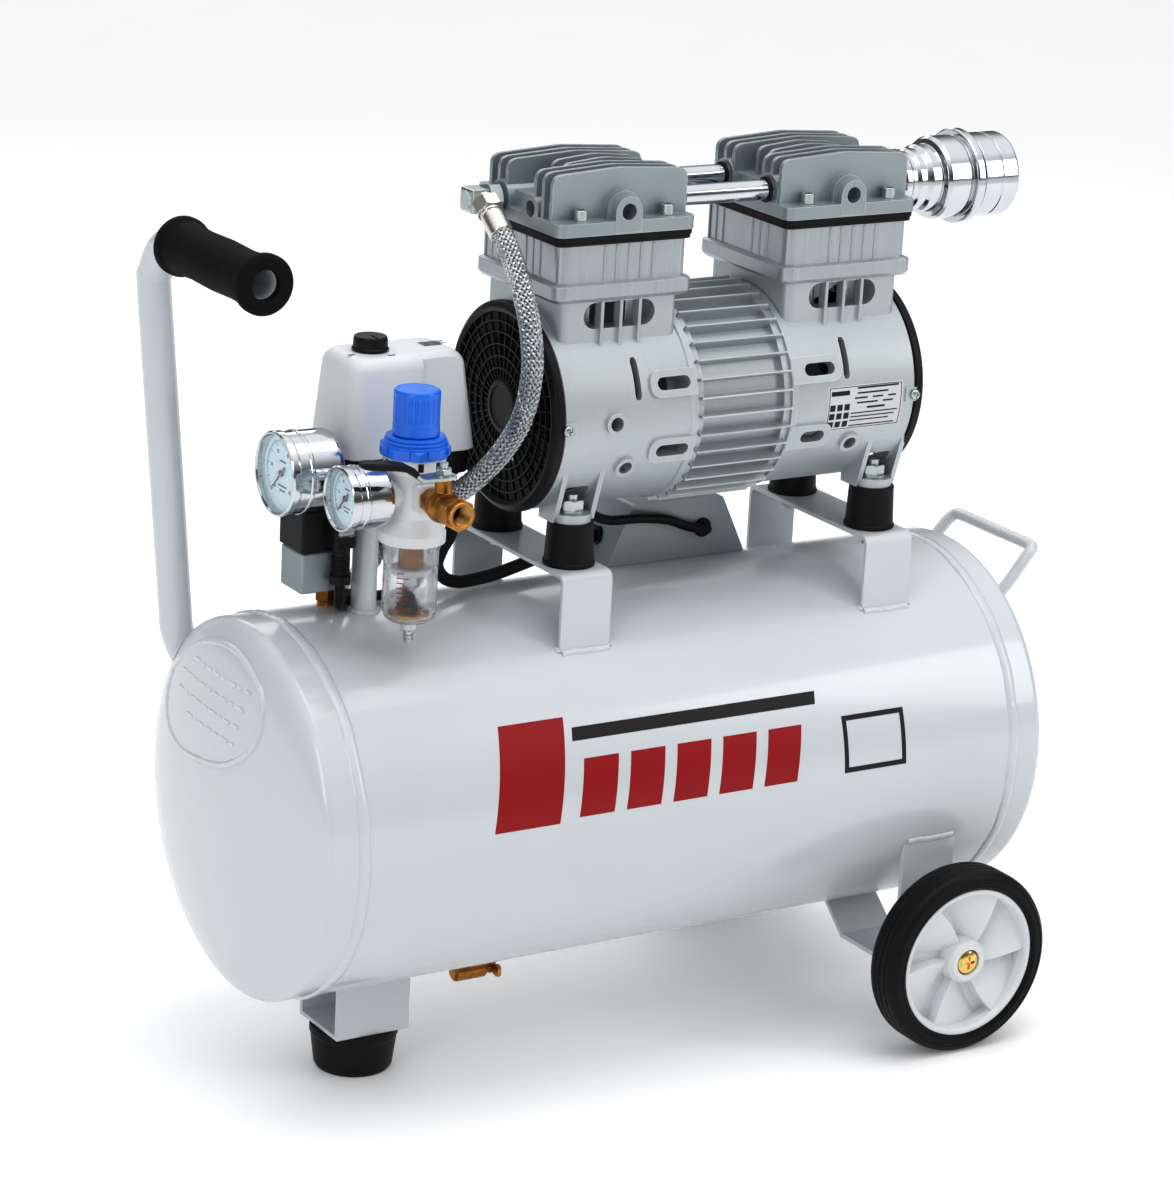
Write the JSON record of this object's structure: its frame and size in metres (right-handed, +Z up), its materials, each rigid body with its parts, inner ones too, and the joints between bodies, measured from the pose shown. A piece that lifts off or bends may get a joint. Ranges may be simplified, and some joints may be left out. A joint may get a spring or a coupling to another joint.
{
  "type": "air compressor",
  "caption": "Portable oil-free air compressor: horizontal receiver on wheels and a rubber foot, finned twin-cylinder pump, pressure switch, filter regulator and outlet valve.",
  "frame": {"origin": "floor level under the middle of the tank, at the centre of the footprint", "axes": "+X along the tank towards the wheels, -Y towards the gauges and outlet valve, +Z up"},
  "size_m": [0.6104, 0.308, 0.581],
  "materials": {
    "white_paint": "gloss powder coat",
    "grey_paint": "satin paint",
    "cast_aluminium": "silver painted casting",
    "head_aluminium": "bead blasted casting",
    "block_aluminium": "die cast",
    "chrome_plate": "polished",
    "zinc_steel": "zinc plated",
    "yellow_zinc": "yellow passivated zinc",
    "brass": "machined",
    "black_rubber": "matte",
    "foam_rubber": "matte foam",
    "tyre_rubber": "matte",
    "black_plastic": "satin",
    "white_plastic": "satin",
    "blue_plastic": "gloss",
    "clear_plastic": "clear",
    "dial_face": "printed enamel",
    "needle_black": "satin",
    "sintered_bronze": "porous",
    "steel_braid": "woven braid",
    "cable_black": "ribbed conduit",
    "rotor_steel": "machined"
  },
  "bodies": {
    "frame": {"tank_barrel": "white_paint", "tank_heads": "white_paint", "name_plate": "white_paint", "foot_channel": "white_paint", "rubber_foot": "black_rubber", "wheel_brackets": "white_paint", "axle_bolts": "yellow_zinc", "handle_tube": "white_paint", "handle_grip": "foam_rubber", "lift_handle": "white_paint", "motor_saddles": "white_paint", "rubber_mounts": "black_rubber", "mount_bolts": "zinc_steel", "drain_valve_body": "brass", "stand_pipe": "white_paint", "check_valve": "brass", "manifold_block": "block_aluminium", "switch_base": "black_plastic", "switch_cover": "white_plastic", "cable_glands": "black_plastic", "tank_gauge_case": "chrome_plate", "line_gauge_case": "chrome_plate", "gauge_dials": "dial_face", "gauge_lenses": "clear_plastic", "regulator_body": "white_plastic", "regulator_nut": "blue_plastic", "filter_bowl": "clear_plastic", "filter_element": "sintered_bronze", "ball_valve_body": "brass", "stator_housing": "cast_aluminium", "crankcase_left": "cast_aluminium", "crankcase_right": "cast_aluminium", "fan_guards": "black_plastic", "cylinders": "cast_aluminium", "valve_plates": "black_rubber", "cylinder_head_left": "head_aluminium", "cylinder_head_right": "head_aluminium", "head_bolts": "zinc_steel", "transfer_pipes": "zinc_steel", "intake_silencer": "chrome_plate", "hose_fittings": "zinc_steel", "discharge_hose": "steel_braid", "capacitor_cover": "grey_paint", "wiring": "cable_black"},
    "near_wheel": {"near_wheel": "white_plastic", "near_tyre": "tyre_rubber"},
    "far_wheel": {"far_wheel": "white_plastic", "far_tyre": "tyre_rubber"},
    "rotor": {"rotor_shaft": "rotor_steel", "cooling_fans": "black_plastic"},
    "piston_left": {"rocking_piston_left": "block_aluminium"},
    "piston_right": {"rocking_piston_right": "block_aluminium"},
    "switch_knob": {"switch_knob": "black_plastic"},
    "spindle": {"regulator_spindle": "zinc_steel"},
    "regulator_knob": {"regulator_knob": "blue_plastic"},
    "valve_lever": {"ball_valve_lever": "black_rubber"},
    "drain_tap": {"drain_tap": "brass"},
    "bowl_drain": {"bowl_drain": "zinc_steel"},
    "tank_needle": {"tank_gauge_needle": "needle_black"},
    "line_needle": {"line_gauge_needle": "needle_black"}
  },
  "joints": [
    {"name": "near_wheel_spin", "type": "hinge", "parent": "frame", "child": "near_wheel", "pos_m": [0.193, -0.14, 0.0625], "axis": [0, 1, 0], "continuous": true},
    {"name": "far_wheel_spin", "type": "hinge", "parent": "frame", "child": "far_wheel", "pos_m": [0.193, 0.14, 0.0625], "axis": [0, 1, 0], "continuous": true},
    {"name": "rotor_spin", "type": "hinge", "parent": "frame", "child": "rotor", "pos_m": [0, 0, 0.425], "axis": [1, 0, 0], "continuous": true},
    {"name": "left_crank_pin", "type": "hinge", "parent": "rotor", "child": "piston_left", "pos_m": [-0.035, 0, 0.433], "axis": [1, 0, 0], "continuous": true},
    {"name": "right_crank_pin", "type": "hinge", "parent": "rotor", "child": "piston_right", "pos_m": [0.1315, 0, 0.417], "axis": [1, 0, 0], "continuous": true},
    {"name": "switch_knob_turn", "type": "hinge", "parent": "frame", "child": "switch_knob", "pos_m": [-0.182, 0.003, 0.47], "axis": [0, 0, 1], "range_deg": [0, 90]},
    {"name": "regulator_spindle_turn", "type": "hinge", "parent": "frame", "child": "spindle", "pos_m": [-0.185, -0.062, 0.42], "axis": [0, 0, 1], "range_deg": [0, 1800]},
    {"name": "regulator_knob_lift", "type": "slide", "parent": "spindle", "child": "regulator_knob", "axis": [0, 0, 1], "range_m": [0, 0.004]},
    {"name": "ball_valve_turn", "type": "hinge", "parent": "frame", "child": "valve_lever", "pos_m": [-0.185, -0.097, 0.41], "axis": [0, 0, 1], "range_deg": [0, 90]},
    {"name": "drain_tap_turn", "type": "hinge", "parent": "frame", "child": "drain_tap", "pos_m": [-0.085, 0, 0.05], "axis": [1, 0, 0], "range_deg": [0, 360]},
    {"name": "bowl_drain_turn", "type": "hinge", "parent": "frame", "child": "bowl_drain", "pos_m": [-0.185, -0.062, 0.31], "axis": [0, 0, 1], "range_deg": [0, 90]},
    {"name": "tank_gauge_swing", "type": "hinge", "parent": "frame", "child": "tank_needle", "pos_m": [-0.2506, -0.015, 0.402], "axis": [1, 0, 0], "range_deg": [0, 270]},
    {"name": "line_gauge_swing", "type": "hinge", "parent": "frame", "child": "line_needle", "pos_m": [-0.232, -0.062, 0.397], "axis": [1, 0, 0], "range_deg": [0, 270]}
  ],
  "couplings": [
    {"joint": "left_crank_pin", "follows": "rotor_spin", "ratio": -1},
    {"joint": "right_crank_pin", "follows": "rotor_spin", "ratio": -1}
  ]
}
